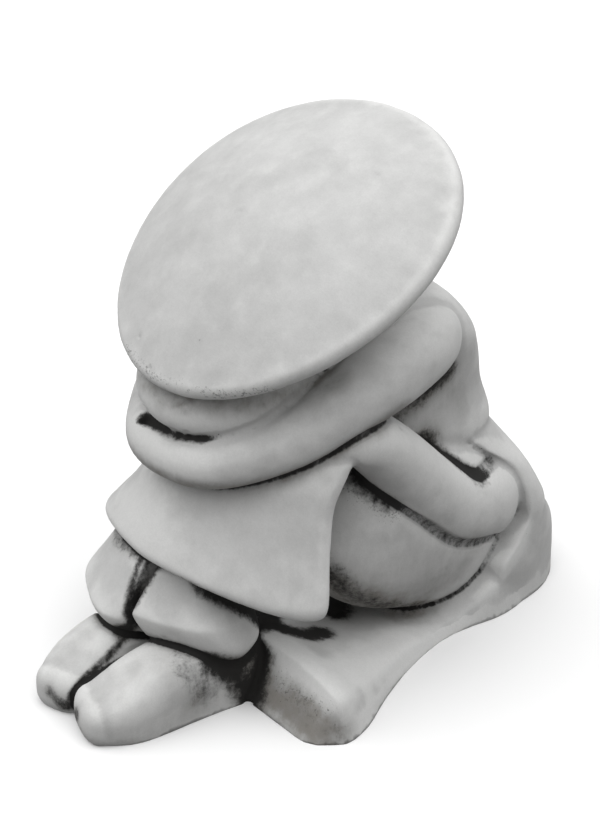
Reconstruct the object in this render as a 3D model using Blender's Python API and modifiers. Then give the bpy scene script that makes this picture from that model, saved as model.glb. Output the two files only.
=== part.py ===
"""Garden figure of a farmer asleep under a wide hat, cast in one piece of stone.

The farmer squats on a low slab with the knees drawn up. The arms are folded on
the knees, the head rests face down on the arms, and the hat covers it. The
figure faces -Y and stands on its flat underside at z = 0, with the origin under
the middle of the casting.

The casting is modelled as rounded masses, each a closed form that runs into its
neighbours. They are fused into one skin, softened as a worn mould softens them,
thinned to few faces and cut flat underneath. Free forms are drawn in shares of
the figure's height: one MM is a millimetre on a figure 300 mm tall.
"""

import math

import bmesh
import bpy
from mathutils import Matrix, Vector

FIGURE_HEIGHT = 0.300
MM = FIGURE_HEIGHT / 300.0

HAT_RADIUS = 0.1008
HAT_RISE = 0.024
HAT_RIM_RADIUS = 0.007
HAT_TILT = math.radians(32.5)
HAT_ROLL = math.radians(-1.7)
HAT_UNEVENNESS = 0.02
HAT_FULL_SIDE = math.radians(31.6)

SLAB_HALF_WIDTH = 0.110
SLAB_HEIGHT = 0.032

SHIN_TURN = math.radians(27.0)
FAR_SHIN_REACH = 0.008
FAR_SHIN_DROP = 0.004

SKIN_VOXEL = 0.0025
SKIN_SOFTENING = 4
SKIN_TRIANGLES = 10300

RING_POINTS = 40
STEPS_BETWEEN = 5
CAP_STEPS = 6
UP = Vector((0.0, 0.0, 1.0))


def clear_scene():
    """Empty the scene, so that the script can be run again."""
    for thing in list(bpy.data.objects):
        bpy.data.objects.remove(thing, do_unlink=True)


def rounded(angle, squareness):
    """Cosine and sine of an angle, on an ellipse at squareness 2 and a boxier oval above it."""
    cosine, sine = math.cos(angle), math.sin(angle)
    power = 2.0 / squareness
    return (
        math.copysign(abs(cosine) ** power, cosine),
        math.copysign(abs(sine) ** power, sine),
    )


def oval(center, across, up, half_width, half_height, squareness):
    """The points of one rounded section."""
    points = []
    for step in range(RING_POINTS):
        c, s = rounded(2.0 * math.pi * step / RING_POINTS, squareness)
        points.append(center + across * (half_width * c) + up * (half_height * s))
    return points


def between(stations):
    """The stations, which are rows of numbers, with smooth steps put in between them."""
    filled = []
    last = len(stations) - 1
    for index in range(last):
        before = stations[max(index - 1, 0)]
        start = stations[index]
        end = stations[index + 1]
        after = stations[min(index + 2, last)]
        for step in range(STEPS_BETWEEN):
            t = step / STEPS_BETWEEN
            row = []
            for a, b, c, d in zip(before, start, end, after):
                bend = (2 * a - 5 * b + 4 * c - d) * t * t + (3 * b - a - 3 * c + d) * t ** 3
                row.append(b + 0.5 * ((c - a) * t + bend))
            filled.append(row)
    filled.append(list(stations[last]))
    return filled


def mirrored(stations):
    """The stations of the same form on the far side, where x is the first number."""
    return [(-row[0], *row[1:]) for row in stations]


def skin_rings(shape, rings):
    """Close a row of rings into one lump of the shape."""
    rows = [[shape.verts.new(point) for point in ring] for ring in rings]
    count = len(rings[0])
    for lower, upper in zip(rows, rows[1:]):
        for step in range(count):
            following = (step + 1) % count
            shape.faces.new((lower[step], lower[following], upper[following], upper[step]))
    shape.faces.new(list(reversed(rows[0])))
    shape.faces.new(rows[-1])


def cap_rings(frame, outward, reach, squareness, bluntness):
    """Shrinking rings that round off the end of a limb, from the limb outwards."""
    center, across, up, half_width, half_height = frame
    rings = []
    for step in range(1, CAP_STEPS):
        shrink, advance = rounded(0.5 * math.pi * step / CAP_STEPS, bluntness)
        middle = center + outward * (reach * advance)
        rings.append(oval(middle, across, up, half_width * shrink, half_height * shrink, squareness))
    return rings


def limb(shape, stations, squareness=2.0, toe_length=None, toe_bluntness=2.0):
    """A tube of changing oval section, with rounded ends.

    Each station is x, y, z, half width and half height. The width lies level and
    square to the path. A limb that has a toe length lies level, with upright
    sections, and ends in a toe of that length.
    """
    rows = between(stations)
    centers = [Vector(row[:3]) * MM for row in rows]
    frames = []
    for index, row in enumerate(rows):
        ahead = centers[min(index + 1, len(rows) - 1)] - centers[max(index - 1, 0)]
        ahead.normalize()
        across = ahead.cross(UP).normalized()
        up = UP if toe_length else across.cross(ahead)
        frames.append((centers[index], across, up, row[3] * MM, row[4] * MM))
    back = (centers[0] - centers[1]).normalized()
    front = (centers[-1] - centers[-2]).normalized()
    start_reach = min(frames[0][3:])
    end_reach = toe_length * MM if toe_length else min(frames[-1][3:])
    rings = cap_rings(frames[0], back, start_reach, squareness, 2.0)
    rings.reverse()
    rings += [oval(*frame, squareness) for frame in frames]
    rings += cap_rings(frames[-1], front, end_reach, squareness, toe_bluntness)
    skin_rings(shape, rings)


def lump(shape, center, radii, tilt, squareness=2.0):
    """An egg shape, or a boxier one above squareness 2, tilted about X."""
    place = Matrix.Translation(Vector(center) * MM) @ Matrix.Rotation(tilt, 4, "X")
    place = place @ Matrix.Diagonal((*(radius * MM for radius in radii), 1.0))
    ball = bmesh.ops.create_uvsphere(
        shape, u_segments=RING_POINTS, v_segments=RING_POINTS // 2, radius=1.0
    )
    for vertex in ball["verts"]:
        length = sum(abs(part) ** squareness for part in vertex.co) ** (1.0 / squareness)
        vertex.co = place @ (vertex.co / length)


def level_rings(levels, squareness, turn=0.0):
    """Level rounded sections, one above the other, turned about the vertical.

    Each level is x and y of its middle, z, half width and half depth.
    """
    across = Vector((math.cos(turn), math.sin(turn), 0.0))
    deep = Vector((-math.sin(turn), math.cos(turn), 0.0))
    rings = []
    for x, y, z, half_width, half_depth in between(levels):
        center = Vector((x, y, z)) * MM
        rings.append(oval(center, across, deep, half_width * MM, half_depth * MM, squareness))
    return rings


def two_part_rings(levels, front_squareness, rear_squareness):
    """Level rings that are widest at one y, with a front and a rear of their own.

    Each level is z, half width, y of the widest place, and how far the front and
    the rear swell from there. Two more are how far the sides hang down, and the
    share of its width that the far side keeps.
    """
    far_hang = 1.7
    rings = []
    for z, half_width, widest_y, front, rear, *sides in between(levels):
        hang, far_share = sides or (0.0, 1.0)
        ring = []
        for step in range(2 * RING_POINTS):
            at_rear = step <= RING_POINTS
            squareness = rear_squareness if at_rear else front_squareness
            c, s = rounded(math.pi * step / RING_POINTS, squareness)
            drop = hang * c * c
            if c < 0.0:
                drop *= far_hang
                c *= far_share
            y = widest_y + s * (rear if at_rear else front)
            ring.append(Vector((half_width * c, y, z - drop)) * MM)
        rings.append(ring)
    return rings


def hat_profile():
    """The hat's section from its point over the rounded rim to the middle of its underside.

    The rim's arc starts where it meets the dome's slope, so no line shows there.
    """
    fullness = 2.0
    rim_middle = HAT_RADIUS - HAT_RIM_RADIUS
    meeting = math.atan2(HAT_RADIUS, HAT_RISE * fullness)
    dome_radius = rim_middle + HAT_RIM_RADIUS * math.cos(meeting)
    dome_foot = HAT_RIM_RADIUS * math.sin(meeting)
    crown_steps = 12
    rim_steps = 8
    profile = []
    for step in range(crown_steps):
        share = step / crown_steps
        profile.append((share * dome_radius, dome_foot + HAT_RISE * (1.0 - share ** fullness)))
    for step in range(rim_steps + 1):
        angle = meeting - (meeting + 0.5 * math.pi) * step / rim_steps
        out, up = math.cos(angle), math.sin(angle)
        profile.append((rim_middle + HAT_RIM_RADIUS * out, HAT_RIM_RADIUS * up))
    profile.append((0.5 * HAT_RADIUS, -2.0 * HAT_RIM_RADIUS))
    profile.append((0.0, -2.0 * HAT_RIM_RADIUS))
    return profile


def make_hat(shape):
    """The wide shallow hat, turned, made a little uneven and tilted over the face."""
    profile = hat_profile()
    mesh = bpy.data.meshes.new("hat_profile")
    edges = [(index, index + 1) for index in range(len(profile) - 1)]
    mesh.from_pydata([(x, 0.0, z) for x, z in profile], edges, [])
    hat = bpy.data.objects.new("hat_profile", mesh)
    bpy.context.scene.collection.objects.link(hat)
    turning = hat.modifiers.new("turning", "SCREW")
    turning.steps = turning.render_steps = 72
    turning.use_merge_vertices = True
    turning.merge_threshold = 0.00005
    depsgraph = bpy.context.evaluated_depsgraph_get()
    turned = bpy.data.meshes.new_from_object(hat.evaluated_get(depsgraph))
    bpy.data.objects.remove(hat, do_unlink=True)
    for vertex in turned.vertices:
        angle = math.atan2(vertex.co.y, vertex.co.x)
        swell = 1.0 + HAT_UNEVENNESS * math.cos(3.0 * (angle - HAT_FULL_SIDE))
        vertex.co.x *= swell
        vertex.co.y *= swell
    place = Matrix.Translation(Vector((0.0, -16.2, 240.1)) * MM)
    turn = Matrix.Rotation(HAT_TILT, 4, "X") @ Matrix.Rotation(HAT_ROLL, 4, "Y")
    turned.transform(place @ turn)
    shape.from_mesh(turned)
    bpy.data.meshes.remove(turned)


def make_head(shape):
    """The bowed head: the brow band that shows under the hat, the skull and the neck."""
    lump(shape, (0.0, -49.0, 177.5), (56.0, 53.0, 24.0), math.radians(17.0))
    lump(shape, (0.0, -26.0, 204.0), (50.0, 56.0, 36.0), math.radians(24.0))
    limb(shape, [(0.0, 34.0, 186.0, 34.0, 26.0), (0.0, 6.0, 204.0, 34.0, 26.0)])


def make_sleeves(shape):
    """The folded arms: one roll round the front that widens up to the shoulders."""
    near = [
        (0.0, -85.5, 136.5, 21.0, 16.0),
        (24.0, -79.0, 140.0, 23.0, 16.5),
        (46.5, -56.5, 151.0, 21.5, 18.5),
        (58.5, -27.5, 166.0, 19.5, 20.5),
        (62.5, 2.0, 178.0, 20.0, 22.0),
        (58.0, 27.0, 186.0, 21.0, 20.5),
        (46.0, 45.0, 183.0, 21.0, 20.0),
        (34.0, 54.0, 177.0, 19.0, 18.0),
    ]
    limb(shape, mirrored(near)[:0:-1] + near, 2.2)


def make_back(shape):
    """The bent back under the robe, from the seat up to the shoulders."""
    levels = [
        (0.0, 60.0, 60.0, 50.0, 40.0),
        (0.0, 62.0, 90.0, 54.0, 42.0),
        (0.0, 64.0, 116.0, 56.0, 46.0),
        (0.0, 55.0, 138.0, 52.0, 51.0),
        (0.0, 50.0, 160.0, 53.0, 52.5),
        (0.0, 42.0, 180.0, 57.0, 50.5),
        (0.0, 30.0, 198.0, 54.0, 46.0),
        (0.0, 17.0, 210.0, 42.0, 37.0),
        (0.0, 12.0, 217.0, 28.0, 28.0),
    ]
    skin_rings(shape, level_rings(levels, 2.9))


def make_mantle(shape):
    """The robe spread behind the seat, from the ground up round the hips to the back."""
    levels = [
        (-12.0, 76.0, 88.0, 10.0, 74.0),
        (6.0, 76.0, 88.0, 10.0, 74.0),
        (30.0, 77.0, 87.0, 9.0, 73.0),
        (42.0, 76.0, 97.0, 8.0, 57.0),
        (55.0, 75.0, 107.0, 7.0, 35.0),
        (65.0, 75.0, 107.0, 7.0, 30.0),
        (78.0, 73.0, 104.0, 7.0, 25.0),
        (92.0, 68.0, 98.0, 7.0, 22.5),
        (106.0, 59.0, 82.0, 9.0, 31.0),
        (121.0, 50.0, 69.0, 10.0, 30.0),
        (136.0, 45.0, 60.0, 10.0, 28.0),
    ]
    skin_rings(shape, two_part_rings(levels, 3.0, 2.6))


def make_thighs(shape):
    """The tunic over the thighs, from the knees back to a rounded hip."""
    near = [
        (52.0, -30.0, 144.0, 20.0, 11.0),
        (55.0, -22.0, 148.0, 23.0, 14.0),
        (58.0, -11.0, 146.0, 24.0, 17.0),
        (59.0, 8.0, 129.0, 23.0, 19.0),
        (59.0, 34.0, 99.0, 23.0, 21.0),
        (57.0, 58.0, 77.0, 24.0, 24.0),
        (51.0, 84.0, 70.0, 26.0, 27.0),
    ]
    for stations in (near, mirrored(near)):
        limb(shape, stations, 2.2)


def make_haunches(shape):
    """The broad folded legs that sit on the slab under the tunic."""
    for side in (1.0, -1.0):
        lump(shape, (side * 33.0, 47.0, 70.0), (41.5, 75.0, 56.0), math.radians(-14.0), 2.5)


def make_apron(shape):
    """The tunic's front, hung over the knees like a tent, with a corner at each side."""
    levels = [
        (74.0, 60.0, -66.0, 20.0, 6.0, 6.0, 0.95),
        (79.0, 88.0, -67.0, 42.0, 12.0, 11.0, 0.95),
        (85.0, 95.0, -67.0, 49.0, 13.0, 12.0, 0.95),
        (94.0, 94.0, -65.0, 47.0, 14.0, 11.0, 0.88),
        (110.0, 86.0, -59.0, 41.0, 16.0, 8.0, 0.78),
        (126.0, 78.5, -51.0, 37.0, 19.0, 4.0, 0.75),
        (138.0, 77.0, -41.0, 38.0, 20.0, 0.0, 0.78),
        (148.0, 73.0, -32.0, 38.0, 20.0, 0.0, 0.82),
        (157.0, 52.0, -28.0, 32.0, 16.0, 0.0, 0.84),
    ]
    skin_rings(shape, two_part_rings(levels, 1.6, 3.0))


def make_shins(shape):
    """The trouser legs below the hem, turned outward and tucked in at the ankle.

    A narrow gap parts them. The far one sits lower and reaches a little further
    forward below the hem.
    """
    hem_height = 88.0
    knuckle_height = 50.0
    squareness = 2.9
    near = [
        (24.0, -86.0, 20.0, 20.0, 10.0),
        (23.0, -88.0, 29.0, 25.0, 18.0),
        (22.0, -90.0, 38.0, 30.0, 22.0),
        (21.0, -92.0, 50.0, 35.5, 27.0),
        (21.0, -92.0, 56.0, 35.5, 27.0),
        (22.0, -89.0, 72.0, 33.0, 20.0),
        (24.0, -84.0, 90.0, 31.0, 16.0),
        (24.0, -80.0, 104.0, 26.0, 12.0),
    ]
    far = []
    for x, y, z, half_width, half_depth in mirrored(near):
        share = min(1.0, max(0.0, (hem_height - z) / 25.0))
        reach = share * FAR_SHIN_REACH / MM
        far.append((x - 0.5 * reach, y - reach, z - FAR_SHIN_DROP / MM, half_width, half_depth))
    for levels, side in ((near, 1.0), (far, -1.0)):
        rings = level_rings(levels, squareness, side * SHIN_TURN)
        for point in (point for ring in rings for point in ring):
            gap = MM + 0.06 * max(0.0, point.z - knuckle_height * MM)
            point.x = side * max(side * point.x, gap)
        skin_rings(shape, rings)


def make_feet(shape):
    """The two blunt feet, side by side in front, with a low web of stone between them."""
    near = [
        (23.5, -78.0, 4.0, 24.0, 34.0),
        (22.0, -100.0, 6.0, 22.0, 32.5),
        (21.0, -125.0, 7.0, 21.0, 30.5),
        (20.0, -142.0, 8.5, 20.5, 24.5),
        (18.0, -152.0, 10.0, 19.0, 18.5),
        (15.5, -160.0, 10.0, 17.0, 14.5),
    ]
    web = [
        (0.0, -112.0, -12.0, 10.0, 34.0),
        (0.0, -112.0, 12.0, 8.0, 32.0),
        (0.0, -108.0, 20.0, 5.0, 26.0),
    ]
    for stations in (near, mirrored(near)):
        limb(shape, stations, 2.7, 12.0, 2.3)
    skin_rings(shape, level_rings(web, 3.0))


def make_slab(shape):
    """The slab: a block under the knees that narrows past the haunches to the seat.

    Its top droops a little beyond the width where it is level.

    Each section is y, its shares of the slab's half width and height, and the
    share of its own width that is left at the top.
    """
    squareness = 8.0
    buried = 0.010
    droop = 0.12
    level_to = 76.0 * MM
    sections = [
        (-83.0, 0.88, 0.08, 0.96),
        (-80.0, 0.93, 0.24, 0.94),
        (-74.0, 0.985, 0.60, 0.91),
        (-67.5, 1.02, 0.95, 0.915),
        (-64.5, 1.03, 1.02, 0.925),
        (-56.0, 1.025, 0.98, 0.92),
        (-42.0, 0.985, 0.80, 0.89),
        (-20.0, 0.875, 0.60, 0.91),
        (10.0, 0.755, 0.40, 0.92),
        (40.0, 0.685, 0.31, 0.93),
        (60.0, 0.69, 0.44, 0.94),
        (80.0, 0.715, 0.84, 0.96),
        (98.0, 0.70, 1.03, 0.96),
        (112.0, 0.66, 1.12, 0.94),
    ]
    rings = []
    for y, width_share, height_share, top_share in between(sections):
        half_width = width_share * SLAB_HALF_WIDTH
        height = height_share * SLAB_HEIGHT
        ring = []
        for step in range(RING_POINTS):
            c, s = rounded(2.0 * math.pi * step / RING_POINTS, squareness)
            z = 0.5 * (height - buried) + 0.5 * (height + buried) * s
            x = half_width * c * (1.0 - (1.0 - top_share) * max(z, 0.0) / height)
            drop = droop * max(0.0, abs(x) - level_to) * max(0.0, z) / height
            ring.append(Vector((x, y * MM, z - drop)))
        rings.append(ring)
    skin_rings(shape, rings)


def make_core(shape):
    """The stone between the legs, behind the shins and under the head."""
    levels = [
        (0.0, -30.0, -12.0, 30.0, 62.0),
        (0.0, -30.0, 30.0, 30.0, 62.0),
        (0.0, -20.0, 70.0, 32.0, 60.0),
        (0.0, -20.0, 120.0, 46.0, 52.0),
        (0.0, -16.0, 150.0, 44.0, 54.0),
        (0.0, 0.0, 185.0, 42.0, 50.0),
    ]
    skin_rings(shape, level_rings(levels, 3.0))


def make_masses():
    """One mesh of all the rounded masses, still running through each other."""
    shape = bmesh.new()
    make_hat(shape)
    make_head(shape)
    make_sleeves(shape)
    make_back(shape)
    make_mantle(shape)
    make_thighs(shape)
    make_haunches(shape)
    make_apron(shape)
    make_shins(shape)
    make_feet(shape)
    make_slab(shape)
    make_core(shape)
    bmesh.ops.recalc_face_normals(shape, faces=shape.faces)
    mesh = bpy.data.meshes.new("farmer_figure")
    shape.to_mesh(mesh)
    shape.free()
    return mesh


def make_stone():
    """Pale matt cast stone."""
    stone = bpy.data.materials.new("cast_stone")
    stone.use_nodes = True
    shader = stone.node_tree.nodes["Principled BSDF"]
    shader.inputs["Base Color"].default_value = (0.56, 0.56, 0.55, 1.0)
    shader.inputs["Roughness"].default_value = 0.85
    shader.inputs["Metallic"].default_value = 0.0
    return stone


def make_ground(cutters):
    """A wide block that ends at z = 0, to cut the underside flat."""
    width = 2.0
    depth = 0.1
    bpy.ops.mesh.primitive_cube_add(size=1.0)
    ground = bpy.context.object
    ground.name = "ground"
    ground.data.transform(Matrix.Diagonal((width, width, depth, 1.0)))
    ground.data.transform(Matrix.Translation((0.0, 0.0, -0.5 * depth)))
    for owner in list(ground.users_collection):
        owner.objects.unlink(ground)
    cutters.objects.link(ground)
    ground.hide_render = True
    ground.display_type = "WIRE"
    return ground


def evaluated_mesh(thing):
    """The object's mesh as its modifiers leave it."""
    bpy.context.view_layer.update()
    return thing.evaluated_get(bpy.context.evaluated_depsgraph_get()).data


def fuse(figure, ground):
    """One skin round all masses: fused, softened, thinned and cut flat underneath."""
    skin = figure.modifiers.new("skin", "REMESH")
    skin.mode = "VOXEL"
    skin.voxel_size = SKIN_VOXEL
    skin.use_smooth_shade = True
    soften = figure.modifiers.new("soften", "SMOOTH")
    soften.factor = 0.5
    soften.iterations = SKIN_SOFTENING
    dense = evaluated_mesh(figure)
    triangles = sum(len(face.vertices) - 2 for face in dense.polygons)
    thin = figure.modifiers.new("thin", "DECIMATE")
    thin.ratio = SKIN_TRIANGLES / triangles
    flat = figure.modifiers.new("flat_underside", "BOOLEAN")
    flat.operation = "DIFFERENCE"
    flat.object = ground


def main():
    clear_scene()
    figures = bpy.data.collections.new("sleeping_farmer")
    cutters = bpy.data.collections.new("cutters")
    bpy.context.scene.collection.children.link(figures)
    bpy.context.scene.collection.children.link(cutters)

    figure = bpy.data.objects.new("farmer_figure", make_masses())
    figures.objects.link(figure)
    figure.data.materials.append(make_stone())
    fuse(figure, make_ground(cutters))

    # The origin comes under the middle of the casting's length.
    lengths = [vertex.co.y for vertex in evaluated_mesh(figure).vertices]
    figure.location.y = -0.5 * (min(lengths) + max(lengths))


main()
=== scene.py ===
"""Garden figure of a farmer asleep under a wide hat, cast in one piece of pale stone.

The casting is worked up the way its pattern was: rounded masses are set one on
another, fused into one body, carved along its folds, worn, and then dirtied in
its hollows; painted shade, shadow and highlights are put into its colour too.
Free forms are in millimetres, measured from the figure's middle.
"""

import math

import bmesh
import bpy
import numpy
from mathutils import Matrix, Vector
from mathutils.bvhtree import BVHTree


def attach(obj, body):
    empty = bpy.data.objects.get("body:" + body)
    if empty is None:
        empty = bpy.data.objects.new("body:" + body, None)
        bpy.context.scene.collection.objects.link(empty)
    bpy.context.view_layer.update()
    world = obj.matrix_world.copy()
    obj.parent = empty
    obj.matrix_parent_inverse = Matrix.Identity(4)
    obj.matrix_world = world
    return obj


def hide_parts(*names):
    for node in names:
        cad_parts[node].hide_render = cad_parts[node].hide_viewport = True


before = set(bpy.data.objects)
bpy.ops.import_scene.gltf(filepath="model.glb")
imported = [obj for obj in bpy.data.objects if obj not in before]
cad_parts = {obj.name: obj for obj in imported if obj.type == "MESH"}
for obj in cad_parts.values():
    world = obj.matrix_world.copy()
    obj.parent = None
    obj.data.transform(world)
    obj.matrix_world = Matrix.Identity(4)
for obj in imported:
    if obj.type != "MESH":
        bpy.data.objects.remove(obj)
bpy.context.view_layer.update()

# The studio.
# A white paper floor, a soft light that comes from all of the ceiling, two weak
# ones, and the camera at the figure's front left, looking down on it.

MM = 0.001
FIGURE_MIDDLE = Vector((0.0, 5.4, 0.0)) * MM
CAMERA_AZIMUTH = math.radians(50.5)
CAMERA_ELEVATION = math.radians(29.0)
CAMERA_DISTANCE = 1.2
CAMERA_TARGET = Vector((-6.0, 0.0, 131.0)) * MM + FIGURE_MIDDLE
PHOTO_HEIGHT = 819
PHOTO_FOCUS = 2150

scene = bpy.context.scene
scene.view_settings.view_transform = "Standard"

viewer = bpy.data.cameras.new("viewer")
viewer.lens = viewer.sensor_width * PHOTO_FOCUS / PHOTO_HEIGHT
viewer_object = bpy.data.objects.new("viewer", viewer)
scene.collection.objects.link(viewer_object)
towards_camera = Vector((
    math.sin(CAMERA_AZIMUTH) * math.cos(CAMERA_ELEVATION),
    -math.cos(CAMERA_AZIMUTH) * math.cos(CAMERA_ELEVATION),
    math.sin(CAMERA_ELEVATION),
))
viewer_object.location = CAMERA_TARGET + towards_camera * CAMERA_DISTANCE
viewer_object.rotation_euler = towards_camera.to_track_quat("Z", "Y").to_euler()
scene.camera = viewer_object

FLOOR_REACH = 6.0
PAPER_WHITE = (0.90, 0.90, 0.90, 1.0)
floor_mesh = bpy.data.meshes.new("paper_floor")
floor_mesh.from_pydata(
    [(x * FLOOR_REACH, y * FLOOR_REACH, 0.0) for x, y in ((-1, -1), (1, -1), (1, 1), (-1, 1))],
    [], [(0, 1, 2, 3)],
)
floor = bpy.data.objects.new("paper_floor", floor_mesh)
scene.collection.objects.link(floor)
paper = bpy.data.materials.new("pale_paper")
paper.use_nodes = True
paper_shader = paper.node_tree.nodes["Principled BSDF"]
paper_shader.inputs["Base Color"].default_value = PAPER_WHITE
paper_shader.inputs["Roughness"].default_value = 1.0
paper_shader.inputs["Specular IOR Level"].default_value = 0.0
floor_mesh.materials.append(paper)
floor.visible_diffuse = False

SKY_LOW = 0.20
SKY_TOP = 1.50
scene.world = bpy.data.worlds.new("studio")
scene.world.use_nodes = True
sky = scene.world.node_tree
direction = sky.nodes.new("ShaderNodeTexCoord")
split = sky.nodes.new("ShaderNodeSeparateXYZ")
sky.links.new(direction.outputs["Generated"], split.inputs[0])
fading = sky.nodes.new("ShaderNodeMapRange")
fading.interpolation_type = "SMOOTHSTEP"
fading.inputs["From Min"].default_value = 0.0
fading.inputs["From Max"].default_value = 1.0
fading.inputs["To Min"].default_value = SKY_LOW
fading.inputs["To Max"].default_value = SKY_TOP
sky.links.new(split.outputs["Z"], fading.inputs["Value"])
sky.nodes["Background"].inputs["Color"].default_value = (1.0, 1.0, 1.0, 1.0)
sky.links.new(fading.outputs[0], sky.nodes["Background"].inputs["Strength"])

LIGHT_SPREAD = math.radians(50.0)
REAR_LIGHT_FROM = (0.35, 0.30, 1.0)
REAR_LIGHT_STRENGTH = 0.45
FRONT_LIGHT_FROM = (-0.55, -0.70, 0.95)
FRONT_LIGHT_STRENGTH = 0.62


def far_light(name, direction, strength):
    """A broad even light that comes from a direction."""
    light = bpy.data.lights.new(name, "SUN")
    light.energy = strength
    light.angle = LIGHT_SPREAD
    holder = bpy.data.objects.new(name, light)
    scene.collection.objects.link(holder)
    holder.rotation_euler = Vector(direction).to_track_quat("Z", "Y").to_euler()


far_light("rear_light", REAR_LIGHT_FROM, REAR_LIGHT_STRENGTH)
far_light("front_light", FRONT_LIGHT_FROM, FRONT_LIGHT_STRENGTH)

# The hat.
# A wide shallow hat of stiff straw, tipped forward over the face. It is turned
# from its section, pulled a little out of round, and tilted onto the head.

masses = bmesh.new()
HAT_RADIUS = 101.6
HAT_RISE = 24.0
HAT_FULLNESS = 2.0
HAT_RIM_RADIUS = 7.0
HAT_TILT = math.radians(32.5)
HAT_ROLL = math.radians(-1.7)
HAT_MIDDLE = (0.0, -16.2, 240.1)
HAT_UNEVENNESS = 0.02
HAT_FULL_SIDE = math.radians(31.6)
HAT_STEPS = 120
CROWN_RINGS = 17
RIM_RINGS = 10


def hat_section():
    """Radius and height from the crown's point over the rolled rim to the underside."""
    rim_middle = HAT_RADIUS - HAT_RIM_RADIUS
    meeting = math.atan2(HAT_RADIUS, HAT_RISE * HAT_FULLNESS)
    dome_radius = rim_middle + HAT_RIM_RADIUS * math.cos(meeting)
    dome_foot = HAT_RIM_RADIUS * math.sin(meeting)
    section = []
    for step in range(1, CROWN_RINGS):
        share = step / CROWN_RINGS
        section.append((share * dome_radius, dome_foot + HAT_RISE * (1.0 - share ** HAT_FULLNESS)))
    for step in range(RIM_RINGS + 1):
        angle = meeting - (meeting + 0.5 * math.pi) * step / RIM_RINGS
        section.append((
            rim_middle + HAT_RIM_RADIUS * math.cos(angle), HAT_RIM_RADIUS * math.sin(angle)))
    section.append((0.5 * HAT_RADIUS, -2.0 * HAT_RIM_RADIUS))
    return section


def skin_rings(shape, rings):
    """Close a row of rings of points into one mass."""
    rows = [[shape.verts.new(point) for point in ring] for ring in rings]
    count = len(rings[0])
    for lower, upper in zip(rows, rows[1:]):
        for step in range(count):
            following = (step + 1) % count
            shape.faces.new((lower[step], lower[following], upper[following], upper[step]))
    shape.faces.new(list(reversed(rows[0])))
    shape.faces.new(rows[-1])


hat_turn = Matrix.Rotation(HAT_TILT, 4, "X") @ Matrix.Rotation(HAT_ROLL, 4, "Y")
hat_place = Matrix.Translation(Vector(HAT_MIDDLE) * MM) @ hat_turn
hat_rings = []
for radius, height in hat_section():
    ring = []
    for step in range(HAT_STEPS):
        angle = 2.0 * math.pi * step / HAT_STEPS
        reach = radius * (1.0 + HAT_UNEVENNESS * math.cos(3.0 * (angle - HAT_FULL_SIDE)))
        spot = Vector((reach * math.cos(angle), reach * math.sin(angle), height))
        ring.append(hat_place @ (spot * MM))
    hat_rings.append(ring)
skin_rings(masses, hat_rings)
mass_ends = {"hat": len(masses.faces)}

# The head.
# The bowed head shows only as a band of brow between the hat and the arms. The
# skull and the neck run up into the hat, where nothing of the face is seen.

BROW_MIDDLE = (-3.0, -50.0, 178.0)
BROW_RADII = (54.0, 53.0, 24.0)
BROW_TILT = math.radians(17.0)
SKULL_MIDDLE = (0.0, -26.0, 204.0)
SKULL_RADII = (50.0, 56.0, 36.0)
SKULL_TILT = math.radians(24.0)
NECK_STATIONS = [(0.0, 34.0, 186.0, 34.0, 26.0), (0.0, 6.0, 204.0, 34.0, 26.0)]
RING_POINTS = 56
STEPS_BETWEEN = 6
CAP_STEPS = 8
UP = Vector((0.0, 0.0, 1.0))


def lump(shape, center, radii, tilt, squareness=2.0):
    """An egg shape, or a boxier one above squareness 2, tilted about X."""
    place = Matrix.Translation(Vector(center) * MM) @ Matrix.Rotation(tilt, 4, "X")
    place = place @ Matrix.Diagonal((*(radius * MM for radius in radii), 1.0))
    ball = bmesh.ops.create_uvsphere(
        shape, u_segments=RING_POINTS, v_segments=RING_POINTS // 2, radius=1.0
    )
    for vertex in ball["verts"]:
        length = sum(abs(part) ** squareness for part in vertex.co) ** (1.0 / squareness)
        vertex.co = place @ (vertex.co / length)


def rounded(angle, squareness):
    """Cosine and sine of an angle, on an ellipse at squareness 2 and a boxier oval above it."""
    cosine, sine = math.cos(angle), math.sin(angle)
    power = 2.0 / squareness
    return (
        math.copysign(abs(cosine) ** power, cosine),
        math.copysign(abs(sine) ** power, sine),
    )


def oval(center, across, up, half_width, half_height, squareness):
    """The points of one rounded section."""
    points = []
    for step in range(RING_POINTS):
        c, s = rounded(2.0 * math.pi * step / RING_POINTS, squareness)
        points.append(center + across * (half_width * c) + up * (half_height * s))
    return points


def between(stations):
    """The stations, which are rows of numbers, with smooth steps put in between them."""
    filled = []
    last = len(stations) - 1
    for index in range(last):
        before = stations[max(index - 1, 0)]
        start = stations[index]
        end = stations[index + 1]
        after = stations[min(index + 2, last)]
        for step in range(STEPS_BETWEEN):
            t = step / STEPS_BETWEEN
            row = []
            for a, b, c, d in zip(before, start, end, after):
                bend = (2 * a - 5 * b + 4 * c - d) * t * t + (3 * b - a - 3 * c + d) * t ** 3
                row.append(b + 0.5 * ((c - a) * t + bend))
            filled.append(row)
    filled.append(list(stations[last]))
    return filled


def cap_rings(end, outward, reach, squareness, bluntness):
    """Shrinking rings that round off the end of a limb, from the limb outwards."""
    center, across, up, half_width, half_height = end
    rings = []
    for step in range(1, CAP_STEPS):
        shrink, advance = rounded(0.5 * math.pi * step / CAP_STEPS, bluntness)
        middle = center + outward * (reach * advance)
        rings.append(oval(middle, across, up, half_width * shrink, half_height * shrink, squareness))
    return rings


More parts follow.
